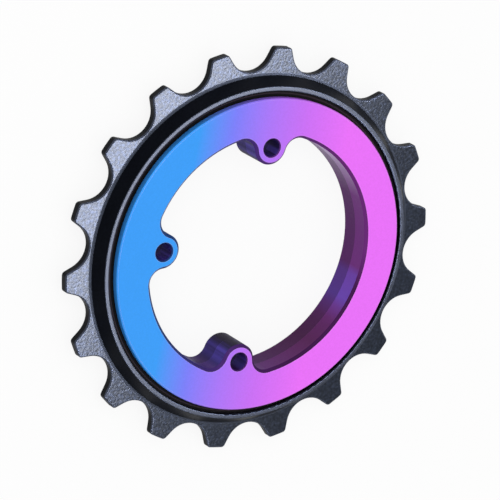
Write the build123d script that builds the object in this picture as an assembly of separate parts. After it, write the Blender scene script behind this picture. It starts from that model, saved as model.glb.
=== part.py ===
from build123d import *
import math
import os

# Hollow chain pulley wheel: a toothed ring turning on a large thin bearing round a two-piece clamped hub.
# It lies flat, its axis along +Z and its front face up. The origin is on the axis at the hub's back face.

# Chain and teeth, in millimetres as everywhere here
TOOTH_COUNT = 18
CHAIN_PITCH = 12.7
ROLLER_SEAT_RADIUS = 4.3
ROOT_BELOW_PITCH_LINE = 3.92
FLANK_ANGLE = 31.5
TIP_ABOVE_PITCH_LINE = 0.22
TIP_CORNER_RADIUS = 0.7
TOOTH_THICKNESS = 1.7
TOOTH_EDGE_CHAMFER = 0.22
FIRST_TOOTH_ANGLE = 11.46

# Toothed ring outside its teeth
VALLEY_FLAT = 0.08
HOUSING_WALL = 2.15
LAND_WIDTH = 0.45
LAND_RISE = 0.25
LIP_THICKNESS = 0.8
LIP_COVER = 0.85
LIP_CROWN_WIDTH = 0.8
LIP_EDGE_RADIUS = 0.25
RIM_ABOVE_TEETH = 2.5
BACK_OVERHANG = 0.1
BACK_FACE_WIDTH = 1.0
BORE_CHAMFER = 0.25

# Bearing
BEARING_SECTION = 5.5
BEARING_WIDTH = 4.6
BALL_COUNT = 24
BALL_DIAMETER = 2.5
GROOVE_SHARE = 0.52
SHOULDER_GAP = 1.7
RACE_CHAMFER = 0.2
CAGE_THICKNESS = 1.2
CAGE_ABOVE_BALLS = 0.9
SEAL_THICKNESS = 0.35
SEAL_INSET = 0.1
SEAL_STEP = 1.1
SEAL_BEAD_RADIUS = 0.15
SEAL_BEAD_INSET = 0.55

# Hub
HUB_SEAT_WALL = 3.05
FRONT_FLANGE = 1.6
BACK_FLANGE = 1.05
FLANGE_BEYOND_SEAT = 3.55
RACE_SHOULDER = 1.3
SEAL_RELIEF = 0.25
HUB_EDGE_CHAMFER = 0.2
FRONT_BORE_CHAMFER = 0.5
TAB_ANGLES = (270.0, 180.0, 95.0)
TAB_HOLE_INSET = 2.33
TAB_HOLE_RADIUS = 1.6
TAB_RADIUS = 3.15
TAB_ROOT_FILLET = 2.6

# Clearances
SEAT_CLEARANCE = 0.01
BALL_CLEARANCE = 0.04
POCKET_CLEARANCE = 0.1
SEAL_RUNNING_GAP = 0.15
CAGE_END_GAP = 0.1

# Radii, worked inwards from the chain's pitch circle
pitch_radius = CHAIN_PITCH / (2 * math.sin(math.pi / TOOTH_COUNT))
tip_radius = pitch_radius + TIP_ABOVE_PITCH_LINE
root_radius = pitch_radius - ROOT_BELOW_PITCH_LINE
crease_radius = root_radius - TOOTH_EDGE_CHAMFER - VALLEY_FLAT
land_radius = crease_radius - LAND_WIDTH
bearing_outer_radius = root_radius - HOUSING_WALL
bearing_bore_radius = bearing_outer_radius - BEARING_SECTION
ball_circle_radius = (bearing_outer_radius + bearing_bore_radius) / 2
inner_shoulder_radius = ball_circle_radius - SHOULDER_GAP / 2
outer_shoulder_radius = ball_circle_radius + SHOULDER_GAP / 2
lip_inner_radius = bearing_outer_radius - LIP_COVER
lip_outer_radius = lip_inner_radius + LIP_CROWN_WIDTH
hub_seat_radius = bearing_bore_radius - SEAT_CLEARANCE
hub_bore_radius = bearing_bore_radius - HUB_SEAT_WALL
tab_hole_circle_radius = hub_bore_radius - TAB_HOLE_INSET
flange_radius = bearing_bore_radius + FLANGE_BEYOND_SEAT

# Heights, from the hub's back face
race_back = BACK_FLANGE
race_front = race_back + BEARING_WIDTH
race_middle = (race_back + race_front) / 2
hub_depth = race_front + FRONT_FLANGE
hub_split = hub_depth / 2
rim_top = race_front + LIP_THICKNESS
tooth_front = rim_top - RIM_ABOVE_TEETH
tooth_back = tooth_front - TOOTH_THICKNESS
ring_back = race_back - BACK_OVERHANG


def turned(points):
    """Solid turned about the wheel's axis from (radius, height) corners."""
    return revolve(Plane.XZ * make_face(Polyline(*points, close=True)), Axis.Z)


def polar(radius, angle):
    """Point at a radius and an angle in degrees, in the plane of the wheel."""
    turn = math.radians(angle)
    return Vector(radius * math.cos(turn), radius * math.sin(turn))


def tooth_gap():
    """Outline of a gap between two teeth, along +X: a roller seat with straight flanks that open outwards."""
    seat_centre = Vector(root_radius + ROLLER_SEAT_RADIUS, 0)
    seat_end = seat_centre + polar(ROLLER_SEAT_RADIUS, 90 + FLANK_ANGLE)
    outside = seat_end + polar(tip_radius - root_radius, FLANK_ANGLE)
    mirrored = [Vector(p.X, -p.Y) for p in (seat_end, outside)]
    seat = ThreePointArc(mirrored[0], (root_radius, 0), seat_end)
    sides = Polyline(seat_end, outside, mirrored[1], mirrored[0])
    return make_face([seat, *sides.edges()])


def tooth_outline():
    """Flat outline of the toothed ring, with its tip corners rounded."""
    first_gap = FIRST_TOOTH_ANGLE + 180 / TOOTH_COUNT
    gaps = [Rot(0, 0, first_gap + 360 / TOOTH_COUNT * i) * tooth_gap() for i in range(TOOTH_COUNT)]
    outline = Circle(tip_radius) - gaps
    corners = [v for v in outline.vertices() if Vector(v.X, v.Y).length > pitch_radius]
    return fillet(corners, TIP_CORNER_RADIUS)


def tooth_plate():
    """Flat plate with the teeth, every edge of its two side faces broken."""
    plate = Pos(0, 0, tooth_back) * extrude(tooth_outline(), amount=TOOTH_THICKNESS)
    sides = plate.faces().filter_by(Axis.Z)
    return chamfer(sides.edges(), TOOTH_EDGE_CHAMFER)


def housing():
    """Turned bearing housing inside the teeth: a sloping front wall that ends in a rounded lip."""
    bore = bearing_outer_radius + SEAT_CLEARANCE
    blank = turned(
        [
            (bore, ring_back),
            (bore + BACK_FACE_WIDTH, ring_back),
            (land_radius, tooth_back - LAND_RISE),
            (crease_radius, tooth_back),
            (crease_radius, tooth_front),
            (land_radius, tooth_front + LAND_RISE),
            (lip_outer_radius, rim_top),
            (lip_inner_radius, rim_top),
            (lip_inner_radius, race_front),
            (bore, race_front),
        ]
    )
    blank = fillet(blank.edges().group_by(Axis.Z)[-1], LIP_EDGE_RADIUS)
    mouth = blank.edges().group_by(Axis.Z)[0].sort_by(SortBy.RADIUS)[0]
    return chamfer(mouth, BORE_CHAMFER)


def tooth_ring():
    """Toothed ring, made in one piece with the bearing housing."""
    inside_radius = (crease_radius + bearing_outer_radius) / 2
    inside = Pos(0, 0, tooth_back) * extrude(Circle(inside_radius), amount=TOOTH_THICKNESS)
    return tooth_plate() - inside + housing()


def race(seat_radius, shoulder_radius, groove_floor_radius):
    """Bearing race with a ball groove, seated at one radius and open towards the balls."""
    to_balls = 1 if shoulder_radius > seat_radius else -1
    groove_radius = GROOVE_SHARE * BALL_DIAMETER
    groove_centre = groove_floor_radius + to_balls * groove_radius
    chamfer_radius = seat_radius + to_balls * RACE_CHAMFER
    corners = [
        (chamfer_radius, race_back),
        (shoulder_radius, race_back),
        (shoulder_radius, race_front),
        (chamfer_radius, race_front),
        (seat_radius, race_front - RACE_CHAMFER),
        (seat_radius, race_back + RACE_CHAMFER),
    ]
    groove = Pos(groove_centre, race_middle) * Circle(groove_radius)
    section = make_face(Polyline(*corners, close=True)) - groove
    return revolve(Plane.XZ * section, Axis.Z)


def inner_race():
    """Inner race on the hub seat."""
    floor = ball_circle_radius - BALL_DIAMETER / 2 - BALL_CLEARANCE
    return race(bearing_bore_radius, inner_shoulder_radius, floor)


def outer_race():
    """Outer race in the toothed ring, with a step on each side for a seal."""
    floor = ball_circle_radius + BALL_DIAMETER / 2 + BALL_CLEARANCE
    blank = race(bearing_outer_radius, outer_shoulder_radius, floor)
    step_radius = outer_shoulder_radius + SEAL_STEP
    step_depth = SEAL_INSET + SEAL_THICKNESS
    front = Pos(0, 0, race_front - step_depth / 2) * Cylinder(step_radius, step_depth)
    back = Pos(0, 0, race_back + step_depth / 2) * Cylinder(step_radius, step_depth)
    return blank - front - back


def seal(outer_face_height, inwards):
    """Ring seal with a moulded bead, pressed into the outer race's step and clear of the inner race."""
    inner = inner_shoulder_radius + SEAL_RUNNING_GAP
    outer = outer_shoulder_radius + SEAL_STEP - SEAT_CLEARANCE
    near = outer_face_height + inwards * SEAL_INSET
    far = near + inwards * SEAL_THICKNESS
    bead = Pos(0, 0, near) * Torus(outer - SEAL_BEAD_INSET, SEAL_BEAD_RADIUS)
    return turned([(inner, near), (outer, near), (outer, far), (inner, far)]) + bead


def ball(index):
    """One ball of the bearing."""
    where = polar(ball_circle_radius, 360 / BALL_COUNT * index)
    return Pos(where.X, where.Y, race_middle) * Sphere(BALL_DIAMETER / 2)


def ball_cage():
    """Crown cage: a ring with a drilled pocket for each ball, open towards the front."""
    inner = ball_circle_radius - CAGE_THICKNESS / 2
    outer = ball_circle_radius + CAGE_THICKNESS / 2
    bottom = race_back + SEAL_INSET + SEAL_THICKNESS + CAGE_END_GAP
    top = race_middle + CAGE_ABOVE_BALLS
    ring = turned([(inner, bottom), (outer, bottom), (outer, top), (inner, top)])
    pocket_radius = BALL_DIAMETER / 2 + POCKET_CLEARANCE
    drill_length = 3 * CAGE_THICKNESS
    drill = Pos(ball_circle_radius, 0, race_middle) * Rot(0, 90, 0) * Cylinder(pocket_radius, drill_length)
    return ring - [Rot(0, 0, 360 / BALL_COUNT * i) * drill for i in range(BALL_COUNT)]


def tab_holes():
    """Centres of the mounting holes in the hub's tabs."""
    return [polar(tab_hole_circle_radius, angle) for angle in TAB_ANGLES]


def hub_opening(depth):
    """Solid of the hub's central opening: a cylinder less the rounded tabs round the mounting holes."""
    outline = Circle(hub_bore_radius)
    for angle, hole in zip(TAB_ANGLES, tab_holes()):
        neck = Pos(TAB_HOLE_INSET, 0) * Rectangle(2 * TAB_HOLE_INSET, 2 * TAB_RADIUS)
        outline -= Pos(hole.X, hole.Y) * Rot(0, 0, angle) * (Circle(TAB_RADIUS) + neck)
    opening = extrude(outline, amount=depth)
    upright = opening.edges().filter_by(Axis.Z).sort_by_distance((0, 0, depth / 2))
    tab_roots = upright[-2 * len(TAB_ANGLES) :]
    return fillet(tab_roots, TAB_ROOT_FILLET)


def rims(half, away):
    """Edges of each opening in a hub half's outer face, the largest opening last."""
    outer_face = half.faces().sort_by(Axis.Z)[-1 if away > 0 else 0]
    return [wire.edges() for wire in outer_face.inner_wires().sort_by(SortBy.LENGTH)]


def hub_half(face, split, seat_end, away, bore_chamfer):
    """Half of the hub, from its outer face to the plane where the halves meet.

    Its flange holds the inner race's side and stands clear of the seal and of the outer race.
    """
    shoulder_radius = hub_seat_radius + RACE_SHOULDER
    relief = seat_end + away * SEAL_RELIEF
    blank = turned(
        [
            (0, split),
            (hub_seat_radius, split),
            (hub_seat_radius, seat_end),
            (shoulder_radius, seat_end),
            (shoulder_radius, relief),
            (flange_radius, relief),
            (flange_radius, face - away * HUB_EDGE_CHAMFER),
            (flange_radius - HUB_EDGE_CHAMFER, face),
            (0, face),
        ]
    )
    low = min(face, split)
    depth = abs(face - split)
    half = blank - Pos(0, 0, low) * hub_opening(depth)
    half = chamfer(rims(half, away)[-1], bore_chamfer)
    for hole in tab_holes():
        half -= Pos(hole.X, hole.Y, low + depth / 2) * Cylinder(TAB_HOLE_RADIUS, depth)
    hole_rims = [edge for rim in rims(half, away)[:-1] for edge in rim]
    return chamfer(hole_rims, HUB_EDGE_CHAMFER)


def hub_front():
    """Front half of the hub."""
    return hub_half(hub_depth, hub_split, race_front, 1, FRONT_BORE_CHAMFER)


def hub_back():
    """Back half of the hub."""
    return hub_half(0, hub_split, race_back, -1, HUB_EDGE_CHAMFER)


def pieces():
    """Every piece of the wheel by name."""
    made = {
        "tooth_ring": tooth_ring(),
        "outer_race": outer_race(),
        "inner_race": inner_race(),
        "front_seal": seal(race_front, -1),
        "back_seal": seal(race_back, 1),
        "ball_cage": ball_cage(),
        "hub_front": hub_front(),
        "hub_back": hub_back(),
    }
    for index in range(BALL_COUNT):
        made[f"ball_{index + 1:02d}"] = ball(index)
    return made


os.makedirs("parts", exist_ok=True)
for name, solid in pieces().items():
    export_step(solid, f"parts/{name}.step")
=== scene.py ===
import math
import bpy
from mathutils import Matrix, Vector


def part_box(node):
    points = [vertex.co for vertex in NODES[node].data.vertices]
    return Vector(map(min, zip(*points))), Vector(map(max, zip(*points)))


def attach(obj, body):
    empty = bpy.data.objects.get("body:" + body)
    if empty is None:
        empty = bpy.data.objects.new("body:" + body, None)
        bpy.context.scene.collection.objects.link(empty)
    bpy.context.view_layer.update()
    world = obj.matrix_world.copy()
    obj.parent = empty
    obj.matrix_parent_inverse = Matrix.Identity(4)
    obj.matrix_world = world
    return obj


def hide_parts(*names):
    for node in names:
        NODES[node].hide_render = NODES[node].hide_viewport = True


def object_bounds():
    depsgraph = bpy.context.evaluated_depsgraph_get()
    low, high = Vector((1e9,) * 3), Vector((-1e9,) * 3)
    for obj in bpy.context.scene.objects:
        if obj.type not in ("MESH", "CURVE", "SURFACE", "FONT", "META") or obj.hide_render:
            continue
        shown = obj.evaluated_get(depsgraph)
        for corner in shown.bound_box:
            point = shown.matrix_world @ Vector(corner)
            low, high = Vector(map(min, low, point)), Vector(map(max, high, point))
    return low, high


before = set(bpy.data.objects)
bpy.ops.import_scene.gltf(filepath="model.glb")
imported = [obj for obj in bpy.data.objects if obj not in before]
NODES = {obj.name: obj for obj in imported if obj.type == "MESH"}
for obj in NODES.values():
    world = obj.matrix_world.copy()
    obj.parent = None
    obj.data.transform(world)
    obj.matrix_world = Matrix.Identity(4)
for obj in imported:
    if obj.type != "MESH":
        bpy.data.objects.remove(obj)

from types import SimpleNamespace

import bpy
from bpy.props import FloatProperty, FloatVectorProperty, IntProperty, PointerProperty
from mathutils import Matrix, Vector

bl_info = {
    "name": "Chain Pulley Wheel",
    "version": (1, 0, 0),
    "blender": (4, 5, 0),
    "location": "3D View > Sidebar > Wheel",
    "description": "Finishes the pieces of a hollow chain pulley wheel and sets up its studio",
    "category": "Object",
}

MM = 0.001
DEGREE = math.radians(1)
BALL_NODES = sorted(name for name in NODES if name.startswith("ball_") and name != "ball_cage")
WHEEL_LOW, WHEEL_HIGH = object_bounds()
HUB_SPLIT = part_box("hub_back")[1].z
BALL_LOW, BALL_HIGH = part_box(BALL_NODES[0])
BALL_CENTRE = (BALL_LOW + BALL_HIGH) / 2

# How far the ring's rim stands above the faces of its teeth, which the camera is aimed at.
RIM_ABOVE_TEETH = 2.5 * MM
TOOTH_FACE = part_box("tooth_ring")[1].z - RIM_ABOVE_TEETH

# Where a finish starts and ends, as pairs of a place and the finish's share there.
# By how far the surface faces along the axis: 0 on a wall and 1 on a face that is square to the axis.
RING_FACES = ((0.6, 0.0), (0.95, 1.0))
RING_CHAMFERS = ((0.6, 0.0), (0.69, 0.4), (0.9, 0.4), (0.96, 0.0))
RING_LEVEL = ((0.9, 0.0), (0.98, 1.0))
HUB_FACES = ((0.85, 0.0), (0.97, 1.0))
HUB_CHAMFERS = ((0.5, 0.0), (0.65, 1.0), (0.8, 1.0), (0.9, 0.0))
# By distance from the axis, in millimetres.
TAB_ENDS = ((17.0, 0.9), (18.2, 0.0))
TABS = ((20.6, 1.0), (21.6, 0.0))
BORE_SIDE = ((25.0, 1.0), (26.0, 0.0))
HUB_RIM = ((27.0, 0.0), (28.0, 0.9))
SEAL_BEAD = ((28.92, 0.0), (29.06, 1.0), (29.22, 1.0), (29.36, 0.0))
LIP = ((30.5, 1.0), (30.7, 0.0))
TEETH = ((31.9, 0.15), (32.4, 1.0))
# By turn round the axis, in degrees from the right of the wheel.
# The maroon patch is painted shade, and the violet and lilac patches are painted reflections.
MAROON_PATCH = ((-80, 0.1), (-46, 0.7), (-36, 0.5), (-26, 0.0))
VIOLET_PATCH = ((-32, 0.0), (-26, 0.35), (-21, 1.0), (-9, 0.75), (-5, 0.0))
LILAC_PATCH = ((30, 0.0), (62, 0.95), (90, 0.0))
# Where the bore's chamfer takes painted shade.
SHADED_CHAMFER = ((-110, 0.2), (-60, 0.75), (-14, 0.75), (4, 0.1))
# By height, in metres. Painted shade makes the wall of the hub's back half darker.
BACK_HALF = ((HUB_SPLIT - 0.05 * MM, 0.45), (HUB_SPLIT, 0.0))

# Where the hub's five dyes lie along its fade.
FADE_STOPS = (0.0, 0.22, 0.45, 0.7, 1.0)

# Roughness of each surface, from its smoothest to its roughest spots.
BLASTED_ROUGHNESS = (0.29, 0.39)
TURNED_ROUGHNESS = (0.5, 0.58)
SATIN_FACE_ROUGHNESS = (0.38, 0.46)
SATIN_BORE_ROUGHNESS = (0.5, 0.6)
GROUND_ROUGHNESS = (0.22, 0.38)
LAPPED_ROUGHNESS = (0.04, 0.09)
NYLON_ROUGHNESS = (0.38, 0.5)
RUBBER_ROUGHNESS = (0.55, 0.7)

# How metallic each anodised surface looks, and how much the lit points add.
RING_WALL_METAL, RING_FACE_METAL, SPARKLE_METAL = 0.85, 0.1, 0.75
HUB_BORE_METAL, HUB_FACE_METAL = 0.5, 0.4
# How strongly each surface mirrors where it isn't metallic. The usual value is 0.5.
RING_SPECULAR, HUB_SPECULAR, RUBBER_SPECULAR = 0.12, 0.1, 0.12

# How much lighter and darker than its own colour each surface gets over its dimples.
BLASTED_SHIFT, SATIN_SHIFT, LAPPED_SHIFT, NYLON_SHIFT, RUBBER_SHIFT = 0.2, 0.03, 0.02, 0.04, 0.1

# Nearly all values of a noise texture lie in the first range. The lit points and the tabs' streaks take a
# narrower one, so that they stand out.
NOISE_RANGE, LIT_RANGE, STREAK_RANGE = (0.3, 0.7), (0.42, 0.68), (0.4, 0.6)
# How many finer layers a noise has.
NOISE_DETAIL, LIT_DETAIL, GRINDING_DETAIL = 2.0, 1.0, 3.0
# The most that the lit points and the dye's patches show, and the least and the most that the streaks do.
LIT_SHARE, DYE_PATCH_SHARE = 0.2, 0.25
STREAK_LOW, STREAK_HIGH = 0.25, 0.9
# How strongly the relief of the grinding's rings shows.
GRINDING_STRENGTH = 0.4

# An edge takes painted highlight where rounding it turns the normal: not at the first cosine, and by the
# share at the second.
EDGE_HIGHLIGHT_START, EDGE_HIGHLIGHT_FULL, EDGE_HIGHLIGHT_SHARE = 0.99, 0.93, 0.6
ROUNDING_SAMPLES = 6

# Strength at which a glowing white shows as plain white.
PLAIN = 1.0


def srgb(code):
    """Linear colour with alpha from an sRGB hex code."""
    channels = [int(code[i : i + 2], 16) / 255 for i in (0, 2, 4)]
    linear = [c / 12.92 if c <= 0.04045 else ((c + 0.055) / 1.055) ** 2.4 for c in channels]
    return (*linear, 1.0)


WHITE = srgb("FFFFFF")


def colour(name, description, code):
    """Colour property with an sRGB hex default."""
    return FloatVectorProperty(
        name=name, description=description, default=srgb(code), subtype="COLOR", size=4, min=0, max=1
    )


def length(name, description, millimetres):
    """Length property with its default in millimetres."""
    return FloatProperty(
        name=name,
        description=description,
        default=millimetres * MM,
        unit="LENGTH",
        subtype="DISTANCE",
        precision=5,
    )


class WheelRingSettings(bpy.types.PropertyGroup):
    """Finish of the toothed ring."""

    face_black: colour("Face black", "Blue-black of the blasted faces", "141C29")
    # The walls' deeper black is painted shade; the dye's soft patches take the same black.
    wall_shade_and_patch_black: colour("Wall black", "Painted shade on the walls, a deeper black that the dye's soft patches take too", "07090F")
    # The lip's paler slate is painted highlight.
    lip_highlight_slate: colour("Lip slate", "Painted highlight, a paler slate, on the top of the turned lip over the bearing", "2C3240")
    # The grey on the chamfers and the broken edges is painted highlight.
    edge_highlight_grey: colour("Edge grey", "Painted highlight, grey, on the chamfers and the broken edges", "4C515F")
    sparkle_grey: colour("Sparkle grey", "Paler grey of the points that catch the light", "3C4254")
    # Real blasting leaves dimples of about 0.1 mm, too fine to show. These and the lit points are coarser.
    blast_grain: length("Blast grain", "Size of the dimples that the blasting leaves", 0.45)
    blast_depth: length("Blast depth", "Depth of those dimples", 0.05)
    sparkle: length("Sparkle", "Size of the points that catch the light", 0.55)
    dye_patch: length("Dye patch", "Size of the soft patches in the dye", 6.0)
    edge_reach: length("Edge reach", "Reach of the rounding and its painted highlight along the edges", 0.12)


class WheelBearingSettings(bpy.types.PropertyGroup):
    """Finish of the bearing's pieces."""

    steel: colour("Bearing steel", "Ground bearing steel", "8C857D")
    steel_shade: colour("Steel shade", "Darker rings that the grinding leaves", "5A544F")
    ball_steel: colour("Ball steel", "Lapped ball", "D9DADD")
    nylon: colour("Cage nylon", "Natural moulded nylon", "CFC6A8")
    nylon_shade: colour("Nylon shade", "Flow marks in the nylon", "B8AC88")
    rubber: colour("Seal rubber", "Moulded nitrile rubber", "100F10")
    # The bead's brown-grey is painted highlight.
    bead_highlight: colour("Bead highlight", "Painted highlight, brown-grey, on the rubber's raised bead", "3A3236")
    # Real grinding marks are some hundredths of a millimetre apart, too fine to show. These are coarser, and
    # so are the haze and the mould's texture.
    grinding_pitch: length("Grinding pitch", "Spacing of the rings that grinding leaves", 0.12)
    grinding_depth: length("Grinding depth", "Depth of those rings", 0.004)
    haze: length("Haze", "Size of the faint hazy spots on a lapped ball", 0.5)
    haze_depth: length("Haze depth", "Depth of those spots", 0.0005)
    flow_mark: length("Flow mark", "Width of the flow marks in the nylon", 1.5)
    nylon_grain: length("Nylon grain", "Size of the mould's texture on the nylon", 0.4)
    rubber_grain: length("Rubber grain", "Size of the mould's texture on the rubber", 0.2)
    mould_depth: length("Mould depth", "Depth of the mould's texture", 0.008)
    ball_segments: IntProperty(name="Ball segments", description="Segments round a ball", default=32, min=8)


class WheelHubSettings(bpy.types.PropertyGroup):
    """Finish of the hub."""

    blue: colour("Blue", "Dye on the hub's left", "3FA0FA")
    periwinkle: colour("Periwinkle", "Dye where blue meets violet", "7F82FC")
    violet: colour("Violet", "Dye left of the middle", "AE79FA")
    orchid: colour("Orchid", "Dye right of the middle", "CE72F7")
    pink: colour("Pink", "Dye on the hub's right", "EC74FB")
    fade_start: length("Fade start", "Where the fade leaves blue, across the wheel", -17.0)
    fade_end: length("Fade end", "Where the fade reaches pink, across the wheel", 13.5)
    # The walls' deeper colour is painted shade.
    bore_shade: colour("Bore shade", "What the painted shade on the hub's walls leaves of the dye", "7A6F80")
    # The violet patch, the lilac band and the tabs' blue-violet streaks are painted reflections.
    violet_reflection: colour("Bore violet", "Painted reflection, a violet patch in the bore", "7049B6")
    maroon_shade: colour("Bore maroon", "Painted shade, a maroon patch in the bore", "4C163F")
    lilac_reflection: colour("Bore lilac", "Painted reflection, a thin pale band at the bore's top", "C0A9D0")
    tab_reflection: colour("Tab side", "Painted reflection, blue-violet streaks on the sides of the tabs", "5343A8")
    # This near-black is painted shade.
    near_black_shade: colour("Tab end", "Painted shade, almost black, on the tabs, the back half of the bore and part of its chamfer", "160A20")
    tab_streak: length("Tab streak", "Width of the painted reflection streaks down the sides of the tabs", 1.2)
    # The pale line along the face's edges is painted highlight.
    pale_edge_highlight: colour("Edge pale", "Painted highlight, a pale line along the face's edges", "FFD9FF")
    edge_reach: length("Edge reach", "Reach of the pale line along the edges", 0.12)
    # The dimples of the real satin are well under 0.1 mm, too fine to show. These are coarser.
    satin_grain: length("Satin grain", "Size of the dimples in the satin surface", 0.35)
    satin_depth: length("Satin depth", "Depth of those dimples", 0.004)


class WheelStageSettings(bpy.types.PropertyGroup):
    """Camera, lamps, floor and background."""

    camera_distance: length("Camera distance", "From the wheel's middle to the camera", 818.6)
    lens: FloatProperty(name="Lens", description="Focal length in millimetres", default=335.6)
    strip_length: length("Strip length", "Long side of the near strip lamp", 200.0)
    strip_width: length("Strip width", "Short side of the near strip lamp", 25.0)
    strip_height: length("Strip height", "From the wheel to the strip lamp, along its light", 108.0)
    strip_power: FloatProperty(
        name="Strip power", description="Power of the near strip lamp", default=1.75, unit="POWER"
    )
    strip_colour: colour("Strip colour", "Cool light of the near strip lamp", "EAEEFB")
    fill_size: length("Fill size", "Side of the large soft lamp", 800.0)
    fill_power: FloatProperty(
        name="Fill power", description="Power of the large soft lamp", default=3.8, unit="POWER"
    )
    sky: FloatProperty(name="Sky", description="Strength of the world's diffuse light", default=0.74)
    paper: colour("Paper", "Floor's paper, which takes the wheel's shadow", "F4F4F4")
    floor_white: FloatProperty(
        name="Floor white",
        description="Share of plain white in the floor, as the camera and reflections see it",
        default=0.88,
    )
    floor_size: length("Floor size", "Side of the floor", 3000.0)


def add_node(tree, kind, inputs=None, stops=None, **settings):
    """Adds a node with its settings; an input takes a value or another node's output, a ramp its stops."""
    node = tree.nodes.new(kind)
    for key, value in settings.items():
        setattr(node, key, value)
    for key, value in (inputs or {}).items():
        if isinstance(value, bpy.types.NodeSocket):
            tree.links.new(value, node.inputs[key])
        else:
            node.inputs[key].default_value = value
    for index, (position, shade) in enumerate(stops or ()):
        elements = node.color_ramp.elements
        element = elements[index] if index < len(elements) else elements.new(position)
        element.position = position
        element.color = shade
    return node


def new_material(name):
    """Empty node material with its shader, wired to the output."""
    material = bpy.data.materials.new(name)
    material.use_nodes = True
    tree = material.node_tree
    tree.nodes.clear()
    shader = add_node(tree, "ShaderNodeBsdfPrincipled")
    add_node(tree, "ShaderNodeOutputMaterial", {"Surface": shader.outputs["BSDF"]})
    return material, tree, shader


def place_on_wheel(tree):
    """Where a point is on the wheel, and how far its surface faces along the axis."""
    source = add_node(tree, "ShaderNodeTexCoord")
    point = source.outputs["Object"]
    normal = add_node(tree, "ShaderNodeSeparateXYZ", {0: source.outputs["Normal"]})
    upright = add_node(tree, "ShaderNodeMath", {0: normal.outputs["Z"]}, operation="ABSOLUTE")
    axes = add_node(tree, "ShaderNodeSeparateXYZ", {0: point})
    flat = add_node(tree, "ShaderNodeVectorMath", {0: point, 1: (1, 1, 0)}, operation="MULTIPLY")
    radius = add_node(tree, "ShaderNodeVectorMath", {0: flat.outputs[0]}, operation="LENGTH")
    turn = add_node(
        tree, "ShaderNodeMath", {0: axes.outputs["Y"], 1: axes.outputs["X"]}, operation="ARCTAN2"
    )
    return SimpleNamespace(
        point=point,
        flat=flat.outputs[0],
        across=axes.outputs["X"],
        height=axes.outputs["Z"],
        radius=radius.outputs["Value"],
        turn=turn.outputs[0],
        upright=upright.outputs[0],
    )


def shares(tree, value, pairs, unit=1.0):
    """Share along a value, from pairs of the value, in a unit, and its share; beyond them it is level."""
    low, high = pairs[0][0], pairs[-1][0]
    position = add_node(
        tree, "ShaderNodeMapRange", {"Value": value, "From Min": low * unit, "From Max": high * unit}
    )
    stops = [((at - low) / (high - low), (share, share, share, 1.0)) for at, share in pairs]
    return add_node(tree, "ShaderNodeValToRGB", {0: position.outputs[0]}, stops).outputs["Color"]


def mottled(tree, point, size, noise_range=NOISE_RANGE, low=0.0, high=1.0, detail=NOISE_DETAIL):
    """Share that wanders from low to high over spots of a real size."""
    noise = add_node(tree, "ShaderNodeTexNoise", {"Vector": point, "Scale": 1 / size, "Detail": detail})
    limits = {"From Min": noise_range[0], "From Max": noise_range[1], "To Min": low, "To Max": high}
    return add_node(tree, "ShaderNodeMapRange", {"Value": noise.outputs["Fac"], **limits}).outputs[0]


def layered(tree, base, layers):
    """Lays colours over a base, each through its share."""
    for share, shade in layers:
        base = add_node(tree, "ShaderNodeMix", {0: share, 6: base, 7: shade}, data_type="RGBA").outputs[2]
    return base


def rounded_edges(tree, reach):
    """Normal that rounds sharp edges over a real reach, and a share of painted highlight that rises along
    them.
    """
    rounded = add_node(tree, "ShaderNodeBevel", {"Radius": reach}, samples=ROUNDING_SAMPLES).outputs[0]
    true = add_node(tree, "ShaderNodeNewGeometry").outputs["True Normal"]
    same = add_node(tree, "ShaderNodeVectorMath", {0: rounded, 1: true}, operation="DOT_PRODUCT")
    share = add_node(
        tree,
        "ShaderNodeMapRange",
        {"Value": same.outputs["Value"], "From Min": EDGE_HIGHLIGHT_START, "From Max": EDGE_HIGHLIGHT_FULL, "To Max": EDGE_HIGHLIGHT_SHARE},
    )
    return rounded, share.outputs[0]


def dimpled(tree, shader, point, size, depth, tint, shift, roughness, normal=None, share=1.0):
    """Wires dimples of a real size and depth to the shader's colour, roughness and normal.

    The tint gets lighter and darker by the shift, the roughness runs between its two values, and the bump
    acts through the share.
    """
    noise = add_node(
        tree, "ShaderNodeTexNoise", {"Vector": point, "Scale": 1 / size, "Detail": NOISE_DETAIL}
    ).outputs["Fac"]
    source = {"Value": noise, "From Min": NOISE_RANGE[0], "From Max": NOISE_RANGE[1]}
    shade = add_node(tree, "ShaderNodeMapRange", {**source, "To Min": 1 - shift, "To Max": 1 + shift})
    tinted = add_node(
        tree, "ShaderNodeMix", {0: 1.0, 6: tint, 7: shade.outputs[0]}, data_type="RGBA", blend_type="MULTIPLY"
    )
    gloss = add_node(tree, "ShaderNodeMapRange", {**source, "To Min": roughness[0], "To Max": roughness[1]})
    relief = {"Height": noise, "Distance": depth, "Strength": share}
    if normal:
        relief["Normal"] = normal
    bump = add_node(tree, "ShaderNodeBump", relief)
    tree.links.new(tinted.outputs[2], shader.inputs["Base Color"])
    tree.links.new(gloss.outputs[0], shader.inputs["Roughness"])
    tree.links.new(bump.outputs["Normal"], shader.inputs["Normal"])


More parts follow.
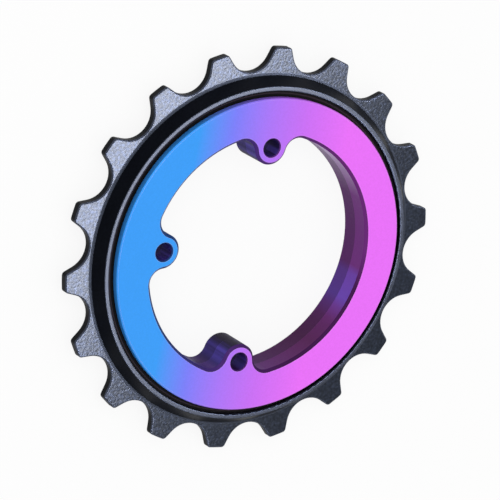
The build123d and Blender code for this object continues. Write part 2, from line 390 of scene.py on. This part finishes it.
def black_anodised(settings):
    """Aluminium, blasted and black anodised: slate faces that sparkle, walls in near-black painted shade, and
    painted highlight on the chamfers, the edges and the lip's top.
    """
    material, tree, shader = new_material("Black anodised blasted aluminium")
    at = place_on_wheel(tree)
    face = shares(tree, at.upright, RING_FACES)
    sloped = shares(tree, at.upright, RING_CHAMFERS)
    level = shares(tree, at.upright, RING_LEVEL)
    lip = shares(tree, at.radius, LIP, MM)
    teeth = shares(tree, at.radius, TEETH, MM)
    rounded, edge = rounded_edges(tree, settings.edge_reach)
    lit = mottled(tree, at.point, settings.sparkle, LIT_RANGE, high=LIT_SHARE, detail=LIT_DETAIL)
    patch = mottled(tree, at.point, settings.dye_patch, high=DYE_PATCH_SHARE)
    lip_top, chamfer, edge_highlight, blasted = (
        add_node(tree, "ShaderNodeMath", {0: one, 1: other}, operation="MULTIPLY").outputs[0]
        for one, other in ((lip, face), (sloped, teeth), (edge, teeth), (level, teeth))
    )
    sparkle = add_node(tree, "ShaderNodeMath", {0: lit, 1: blasted}, operation="MULTIPLY").outputs[0]
    layers = [
        (face, settings.face_black),
        # Painted highlight on the chamfers and the broken edges.
        (chamfer, settings.edge_highlight_grey),
        (edge_highlight, settings.edge_highlight_grey),
        # Painted highlight on the lip's top.
        (lip_top, settings.lip_highlight_slate),
        (patch, settings.wall_shade_and_patch_black),
        (sparkle, settings.sparkle_grey),
    ]
    roughness = [
        add_node(tree, "ShaderNodeMapRange", {"Value": blasted, "To Min": turned, "To Max": rough}).outputs[0]
        for turned, rough in zip(TURNED_ROUGHNESS, BLASTED_ROUGHNESS)
    ]
    # The base black stays on the walls as painted shade.
    tint = layered(tree, settings.wall_shade_and_patch_black, layers)
    grain, depth = settings.blast_grain, settings.blast_depth
    dimpled(tree, shader, at.point, grain, depth, tint, BLASTED_SHIFT, roughness, rounded, blasted)
    metal = add_node(
        tree, "ShaderNodeMapRange", {"Value": face, "To Min": RING_WALL_METAL, "To Max": RING_FACE_METAL}
    ).outputs[0]
    glinting = add_node(
        tree, "ShaderNodeMath", {0: sparkle, 1: SPARKLE_METAL, 2: metal}, operation="MULTIPLY_ADD"
    )
    tree.links.new(glinting.outputs[0], shader.inputs["Metallic"])
    shader.inputs["Specular IOR Level"].default_value = RING_SPECULAR
    return material


def shaded_hub_wall(tree, at, settings, face_dye):
    """The hub's dye in painted shade on its walls, plain and as the walls show it.

    They show patches of painted shade and painted reflection round the bore, painted reflection streaks on
    the tabs with their ends in painted shade, and a back half in painted shade.
    """
    # The walls' deeper dye is painted shade.
    shaded_dye = add_node(
        tree,
        "ShaderNodeMix",
        {0: 1.0, 6: face_dye, 7: settings.bore_shade},
        data_type="RGBA",
        blend_type="MULTIPLY",
    ).outputs[2]
    tab = shares(tree, at.radius, TABS, MM)
    streak = mottled(tree, at.flat, settings.tab_streak, STREAK_RANGE, STREAK_LOW, STREAK_HIGH)
    tab_streak = add_node(tree, "ShaderNodeMath", {0: tab, 1: streak}, operation="MULTIPLY").outputs[0]
    layers = [
        # Painted shade in a maroon patch round the bore.
        (shares(tree, at.turn, MAROON_PATCH, DEGREE), settings.maroon_shade),
        # Painted reflections in a violet patch and a lilac band round the bore.
        (shares(tree, at.turn, VIOLET_PATCH, DEGREE), settings.violet_reflection),
        (shares(tree, at.turn, LILAC_PATCH, DEGREE), settings.lilac_reflection),
        # Painted shade over the tabs, their ends and the back half.
        (tab, settings.near_black_shade),
        # Painted reflection streaks down the tabs' sides.
        (tab_streak, settings.tab_reflection),
        (shares(tree, at.radius, TAB_ENDS, MM), settings.near_black_shade),
        (shares(tree, at.height, BACK_HALF), settings.near_black_shade),
        (shares(tree, at.radius, HUB_RIM, MM), face_dye),
    ]
    return shaded_dye, layered(tree, shaded_dye, layers)


def colour_anodised(settings):
    """Aluminium, satin, dyed to fade from blue to pink: bright faces, painted shade and painted reflections
    in the bore and on the tabs, and a painted highlight along the face's edges.
    """
    material, tree, shader = new_material("Fade-dyed satin anodised aluminium")
    at = place_on_wheel(tree)
    fade = add_node(
        tree,
        "ShaderNodeMapRange",
        {"Value": at.across, "From Min": settings.fade_start, "From Max": settings.fade_end},
    )
    dyes = (settings.blue, settings.periwinkle, settings.violet, settings.orchid, settings.pink)
    stops = list(zip(FADE_STOPS, dyes))
    face_dye = add_node(tree, "ShaderNodeValToRGB", {0: fade.outputs[0]}, stops).outputs["Color"]
    shaded_dye, wall = shaded_hub_wall(tree, at, settings, face_dye)
    face = shares(tree, at.upright, HUB_FACES)
    sloped = shares(tree, at.upright, HUB_CHAMFERS)
    bore_side = shares(tree, at.radius, BORE_SIDE, MM)
    deep = shares(tree, at.turn, SHADED_CHAMFER, DEGREE)
    rounded, edge = rounded_edges(tree, settings.edge_reach)
    chamfer = add_node(tree, "ShaderNodeMath", {0: sloped, 1: bore_side}, operation="MULTIPLY").outputs[0]
    dark_chamfer, face_edge = (
        add_node(tree, "ShaderNodeMath", {0: one, 1: other}, operation="MULTIPLY").outputs[0]
        for one, other in ((chamfer, deep), (edge, face))
    )
    layers = [
        # Painted shade on the bore's chamfer, darkest over one part of it.
        (chamfer, shaded_dye),
        (dark_chamfer, settings.near_black_shade),
        (face, face_dye),
        # Painted highlight along the face's edges.
        (face_edge, settings.pale_edge_highlight),
    ]
    roughness = [
        add_node(tree, "ShaderNodeMapRange", {"Value": face, "To Min": bored, "To Max": flat}).outputs[0]
        for bored, flat in zip(SATIN_BORE_ROUGHNESS, SATIN_FACE_ROUGHNESS)
    ]
    tint = layered(tree, wall, layers)
    grain, depth = settings.satin_grain, settings.satin_depth
    dimpled(tree, shader, at.point, grain, depth, tint, SATIN_SHIFT, roughness, rounded)
    metal = add_node(
        tree, "ShaderNodeMapRange", {"Value": face, "To Min": HUB_BORE_METAL, "To Max": HUB_FACE_METAL}
    )
    tree.links.new(metal.outputs[0], shader.inputs["Metallic"])
    shader.inputs["Specular IOR Level"].default_value = HUB_SPECULAR
    return material


def ground_steel(settings):
    """Hardened bearing steel, ground: bright grey with fine rings round the axis."""
    material, tree, shader = new_material("Ground bearing steel")
    at = place_on_wheel(tree)
    rings = add_node(
        tree,
        "ShaderNodeTexNoise",
        {"W": at.radius, "Scale": 1 / settings.grinding_pitch, "Detail": GRINDING_DETAIL},
        noise_dimensions="1D",
    ).outputs["Fac"]
    source = {"Value": rings, "From Min": NOISE_RANGE[0], "From Max": NOISE_RANGE[1]}
    share = add_node(tree, "ShaderNodeMapRange", source).outputs[0]
    low, high = GROUND_ROUGHNESS
    gloss = add_node(tree, "ShaderNodeMapRange", {**source, "To Min": low, "To Max": high})
    relief = {"Height": rings, "Distance": settings.grinding_depth, "Strength": GRINDING_STRENGTH}
    bump = add_node(tree, "ShaderNodeBump", relief)
    tint = layered(tree, settings.steel, [(share, settings.steel_shade)])
    tree.links.new(tint, shader.inputs["Base Color"])
    tree.links.new(gloss.outputs[0], shader.inputs["Roughness"])
    tree.links.new(bump.outputs["Normal"], shader.inputs["Normal"])
    shader.inputs["Metallic"].default_value = 1.0
    return material


def polished_steel(settings):
    """Chrome steel, lapped: a mirror with the faintest haze."""
    material, tree, shader = new_material("Lapped chrome steel")
    point = place_on_wheel(tree).point
    haze, depth = settings.haze, settings.haze_depth
    dimpled(tree, shader, point, haze, depth, settings.ball_steel, LAPPED_SHIFT, LAPPED_ROUGHNESS)
    shader.inputs["Metallic"].default_value = 1.0
    return material


def moulded_nylon(settings):
    """Natural nylon, moulded: creamy, softly glossy, with faint flow marks."""
    material, tree, shader = new_material("Natural moulded nylon")
    at = place_on_wheel(tree)
    flow = mottled(tree, at.flat, settings.flow_mark)
    tint = layered(tree, settings.nylon, [(flow, settings.nylon_shade)])
    grain, depth = settings.nylon_grain, settings.mould_depth
    dimpled(tree, shader, at.point, grain, depth, tint, NYLON_SHIFT, NYLON_ROUGHNESS)
    return material


def moulded_rubber(settings):
    """Nitrile rubber, moulded: matt black, with a brown-grey painted highlight on its raised bead."""
    material, tree, shader = new_material("Moulded nitrile rubber")
    at = place_on_wheel(tree)
    # Painted highlight along the seal's raised bead.
    bead = shares(tree, at.radius, SEAL_BEAD, MM)
    tint = layered(tree, settings.rubber, [(bead, settings.bead_highlight)])
    grain, depth = settings.rubber_grain, settings.mould_depth
    dimpled(tree, shader, at.point, grain, depth, tint, RUBBER_SHIFT, RUBBER_ROUGHNESS)
    shader.inputs["Specular IOR Level"].default_value = RUBBER_SPECULAR
    return material


def finish(node, material):
    """Gives a CAD node one material."""
    mesh = NODES[node].data
    mesh.materials.clear()
    mesh.materials.append(material)


class WHEEL_OT_ring(bpy.types.Operator):
    """Finish the toothed ring"""

    bl_idname = "wheel.ring"
    bl_label = "Toothed ring"

    def execute(self, context):
        finish("tooth_ring", black_anodised(context.scene.wheel_ring))
        return {"FINISHED"}


class WHEEL_OT_bearing(bpy.types.Operator):
    """Finish the bearing's races, seals and cage"""

    bl_idname = "wheel.bearing"
    bl_label = "Bearing"

    def execute(self, context):
        settings = context.scene.wheel_bearing
        steel = ground_steel(settings)
        rubber = moulded_rubber(settings)
        finish("outer_race", steel)
        finish("inner_race", steel)
        finish("front_seal", rubber)
        finish("back_seal", rubber)
        finish("ball_cage", moulded_nylon(settings))
        return {"FINISHED"}


BALL_ROW_SIZES = {
    "Balls": ("NodeSocketInt", len(BALL_NODES)),
    "Circle radius": ("NodeSocketFloat", BALL_CENTRE.to_2d().length),
    "Start turn": ("NodeSocketFloat", math.atan2(BALL_CENTRE.y, BALL_CENTRE.x)),
    "Height": ("NodeSocketFloat", BALL_CENTRE.z),
    "Ball radius": ("NodeSocketFloat", (BALL_HIGH.z - BALL_LOW.z) / 2),
}


def ball_row_tree(material):
    """Geometry Nodes tree that sets equal balls on a circle round the axis."""
    tree = bpy.data.node_groups.new("Ball row", "GeometryNodeTree")
    tree.interface.new_socket("Geometry", in_out="INPUT", socket_type="NodeSocketGeometry")
    for name, (kind, _) in BALL_ROW_SIZES.items():
        tree.interface.new_socket(name, in_out="INPUT", socket_type=kind)
    tree.interface.new_socket("Segments", in_out="INPUT", socket_type="NodeSocketInt")
    tree.interface.new_socket("Geometry", in_out="OUTPUT", socket_type="NodeSocketGeometry")
    sizes = add_node(tree, "NodeGroupInput").outputs
    rings = add_node(tree, "ShaderNodeMath", {0: sizes["Segments"], 1: 2.0}, operation="DIVIDE")
    ball = add_node(
        tree,
        "GeometryNodeMeshUVSphere",
        {"Segments": sizes["Segments"], "Rings": rings.outputs[0], "Radius": sizes["Ball radius"]},
    )
    circle = add_node(
        tree, "GeometryNodeMeshCircle", {"Vertices": sizes["Balls"], "Radius": sizes["Circle radius"]}
    )
    row = add_node(
        tree, "GeometryNodeInstanceOnPoints", {"Points": circle.outputs[0], "Instance": ball.outputs[0]}
    )
    lift = add_node(tree, "ShaderNodeCombineXYZ", {"Z": sizes["Height"]})
    turn = add_node(tree, "ShaderNodeCombineXYZ", {"Z": sizes["Start turn"]})
    placed = add_node(
        tree,
        "GeometryNodeTransform",
        {"Geometry": row.outputs[0], "Translation": lift.outputs[0], "Rotation": turn.outputs[0]},
    )
    real = add_node(tree, "GeometryNodeRealizeInstances", {"Geometry": placed.outputs[0]})
    smooth = add_node(tree, "GeometryNodeSetShadeSmooth", {"Geometry": real.outputs[0]})
    dressed = add_node(
        tree, "GeometryNodeSetMaterial", {"Geometry": smooth.outputs[0], "Material": material}
    )
    add_node(tree, "NodeGroupOutput", {0: dressed.outputs[0]})
    return tree


def grown(name, tree, sizes):
    """Plain mesh object from what a Geometry Nodes tree makes with its named sizes."""
    seed = bpy.data.objects.new(name + "_seed", bpy.data.meshes.new(name + "_seed"))
    modifier = seed.modifiers.new("Grow", "NODES")
    modifier.node_group = tree
    sockets = {item.name: item.identifier for item in tree.interface.items_tree if item.in_out == "INPUT"}
    for key, value in sizes.items():
        modifier[sockets[key]] = value
    bpy.context.scene.collection.objects.link(seed)
    mesh = bpy.data.meshes.new_from_object(seed.evaluated_get(bpy.context.evaluated_depsgraph_get()))
    mesh.name = name
    seed.modifiers.clear()
    bpy.data.objects.remove(seed)
    piece = bpy.data.objects.new(name, mesh)
    bpy.context.scene.collection.objects.link(piece)
    return piece


class WHEEL_OT_balls(bpy.types.Operator):
    """Make the bearing's row of polished balls"""

    bl_idname = "wheel.balls"
    bl_label = "Balls"

    def execute(self, context):
        settings = context.scene.wheel_bearing
        sizes = {name: value for name, (_, value) in BALL_ROW_SIZES.items()}
        sizes["Segments"] = settings.ball_segments
        piece = grown("bearing_balls", ball_row_tree(polished_steel(settings)), sizes)
        if not piece.data.polygons:
            raise RuntimeError("the ball row came out empty")
        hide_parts(*BALL_NODES)
        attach(piece, "ball_set")
        return {"FINISHED"}


class WHEEL_OT_hub(bpy.types.Operator):
    """Finish both halves of the hub"""

    bl_idname = "wheel.hub"
    bl_label = "Hub"

    def execute(self, context):
        material = colour_anodised(context.scene.wheel_hub)
        finish("hub_front", material)
        finish("hub_back", material)
        return {"FINISHED"}


# From the wheel to the camera, and the picture's up, fitted to the photograph's view of the wheel.
TO_CAMERA = Vector((-0.5413, 0.2353, 0.8073))
PICTURE_UP = Vector((-0.0292, 0.9542, -0.2978))
# How near and how far the camera sees, in metres.
NEAREST_SEEN, FARTHEST_SEEN = 0.01, 10.0
# The camera sees the strip lamp mirrored at this spot, level with the teeth and off their upper left.
STRIP_SPOT = Vector((-34 * MM, 28.5 * MM, TOOTH_FACE))
# The strip lamp's turn round the wheel's axis, from square to the camera.
STRIP_TURN = -5 * DEGREE
# The large soft lamp stands behind the camera.
FILL_PLACE = Vector((-0.5, 0.4, 0.9))
# Keeps the floor's face off the wheel's back face.
FLOOR_GAP = 0.02 * MM


def looking(direction, up):
    """Rotation of a camera or lamp that looks along a direction."""
    back = -direction.normalized()
    right = up.cross(back).normalized()
    top = back.cross(right)
    return Matrix((right, top, back)).transposed().to_4x4()


def make_camera(settings):
    """Camera at the photograph's angle and distance, with the wheel in the middle."""
    data = bpy.data.cameras.new("Camera")
    data.lens = settings.lens
    data.clip_start = NEAREST_SEEN
    data.clip_end = FARTHEST_SEEN
    camera = bpy.data.objects.new("Camera", data)
    place = Vector((0, 0, TOOTH_FACE)) + TO_CAMERA.normalized() * settings.camera_distance
    camera.matrix_world = Matrix.Translation(place) @ looking(-TO_CAMERA, PICTURE_UP)
    bpy.context.scene.collection.objects.link(camera)
    bpy.context.scene.camera = camera


def make_lamp(name, place, target, up, sides, power, shade=WHITE):
    """Soft rectangular lamp that the camera doesn't see."""
    data = bpy.data.lights.new(name, "AREA")
    data.shape = "RECTANGLE"
    data.size, data.size_y = sides
    data.energy = power
    data.color = shade[:3]
    lamp = bpy.data.objects.new(name, data)
    lamp.matrix_world = Matrix.Translation(place) @ looking(target - place, up)
    lamp.visible_camera = False
    bpy.context.scene.collection.objects.link(lamp)
    return lamp


def make_lamps(settings):
    """A near cool strip that shows only as gloss on the toothed ring, and a large soft lamp for the form."""
    mirrored = Vector((-TO_CAMERA.x, -TO_CAMERA.y, TO_CAMERA.z)).normalized()
    strip = make_lamp(
        "Strip",
        STRIP_SPOT + mirrored * settings.strip_height,
        STRIP_SPOT,
        Matrix.Rotation(STRIP_TURN, 3, "Z") @ Vector((-TO_CAMERA.x, -TO_CAMERA.y, 0)),
        (settings.strip_length, settings.strip_width),
        settings.strip_power,
        settings.strip_colour,
    )
    strip.visible_diffuse = False
    lit = bpy.data.collections.new("Strip reaches")
    lit.objects.link(NODES["tooth_ring"])
    strip.light_linking.receiver_collection = lit
    sides = (settings.fill_size, settings.fill_size)
    make_lamp("Fill", FILL_PLACE, Vector((0, 0, 0)), Vector((0, 1, 0)), sides, settings.fill_power)


def seen_directly(tree, share):
    """A share where the camera, a reflection or a transmission sees the surface, else 0."""
    path = add_node(tree, "ShaderNodeLightPath").outputs
    seen = path["Is Camera Ray"]
    for ray in ("Is Glossy Ray", "Is Transmission Ray"):
        seen = add_node(tree, "ShaderNodeMath", {0: seen, 1: path[ray]}, operation="MAXIMUM").outputs[0]
    return add_node(tree, "ShaderNodeMath", {0: seen, 1: share}, operation="MULTIPLY").outputs[0]


def make_floor(settings):
    """Pale floor that keeps the wheel's shadow and shows white to the camera and in reflections."""
    half = settings.floor_size / 2
    low = WHEEL_LOW.z - FLOOR_GAP
    corners = [(-half, -half, low), (half, -half, low), (half, half, low), (-half, half, low)]
    mesh = bpy.data.meshes.new("floor")
    mesh.from_pydata(corners, [], [(0, 1, 2, 3)])
    floor = bpy.data.objects.new("floor", mesh)
    bpy.context.scene.collection.objects.link(floor)
    # Matt paper: an even white that takes a soft shadow.
    material = bpy.data.materials.new("White studio paper")
    material.use_nodes = True
    tree = material.node_tree
    tree.nodes.clear()
    paper = add_node(tree, "ShaderNodeBsdfDiffuse", {"Color": settings.paper})
    glow = add_node(tree, "ShaderNodeEmission", {"Strength": PLAIN})
    seen = seen_directly(tree, settings.floor_white)
    mix = add_node(tree, "ShaderNodeMixShader", {0: seen, 1: paper.outputs[0], 2: glow.outputs[0]})
    add_node(tree, "ShaderNodeOutputMaterial", {"Surface": mix.outputs[0]})
    mesh.materials.append(material)


def make_world(settings):
    """White background, over a dimmer sky that lights the wheel."""
    world = bpy.data.worlds.new("Studio")
    world.use_nodes = True
    tree = world.node_tree
    tree.nodes.clear()
    sky = add_node(tree, "ShaderNodeBackground", {"Color": WHITE, "Strength": settings.sky})
    white = add_node(tree, "ShaderNodeBackground", {"Color": WHITE, "Strength": PLAIN})
    seen = seen_directly(tree, 1.0)
    mix = add_node(tree, "ShaderNodeMixShader", {0: seen, 1: sky.outputs[0], 2: white.outputs[0]})
    add_node(tree, "ShaderNodeOutputWorld", {"Surface": mix.outputs[0]})
    bpy.context.scene.world = world


class WHEEL_OT_stage(bpy.types.Operator):
    """Set up the camera, lamps, floor and background"""

    bl_idname = "wheel.stage"
    bl_label = "Stage"

    def execute(self, context):
        settings = context.scene.wheel_stage
        context.scene.view_settings.view_transform = "Standard"
        make_camera(settings)
        make_lamps(settings)
        make_floor(settings)
        make_world(settings)
        return {"FINISHED"}


BUTTONS = {
    "wheel_ring": ("wheel.ring",),
    "wheel_bearing": ("wheel.bearing", "wheel.balls"),
    "wheel_hub": ("wheel.hub",),
    "wheel_stage": ("wheel.stage",),
}


class WHEEL_PT_panel(bpy.types.Panel):
    """Buttons for the wheel's pieces and stage"""

    bl_idname = "WHEEL_PT_panel"
    bl_label = "Chain Pulley Wheel"
    bl_space_type = "VIEW_3D"
    bl_region_type = "UI"
    bl_category = "Wheel"

    def draw(self, context):
        for name, operators in BUTTONS.items():
            box = self.layout.box()
            for operator in operators:
                box.operator(operator)
            settings = getattr(context.scene, name)
            for key in settings.__annotations__:
                box.prop(settings, key)


SETTINGS = {
    "wheel_ring": WheelRingSettings,
    "wheel_bearing": WheelBearingSettings,
    "wheel_hub": WheelHubSettings,
    "wheel_stage": WheelStageSettings,
}
OPERATORS = (WHEEL_OT_ring, WHEEL_OT_bearing, WHEEL_OT_balls, WHEEL_OT_hub, WHEEL_OT_stage)
CLASSES = (*SETTINGS.values(), *OPERATORS, WHEEL_PT_panel)


def register():
    for cls in CLASSES:
        bpy.utils.register_class(cls)
    for name, group in SETTINGS.items():
        setattr(bpy.types.Scene, name, PointerProperty(type=group))


def unregister():
    for name in SETTINGS:
        delattr(bpy.types.Scene, name)
    for cls in reversed(CLASSES):
        bpy.utils.unregister_class(cls)


def main():
    register()
    bpy.ops.wheel.ring()
    bpy.ops.wheel.bearing()
    bpy.ops.wheel.balls()
    bpy.ops.wheel.hub()
    bpy.ops.wheel.stage()


if __name__ == "__main__":
    main()
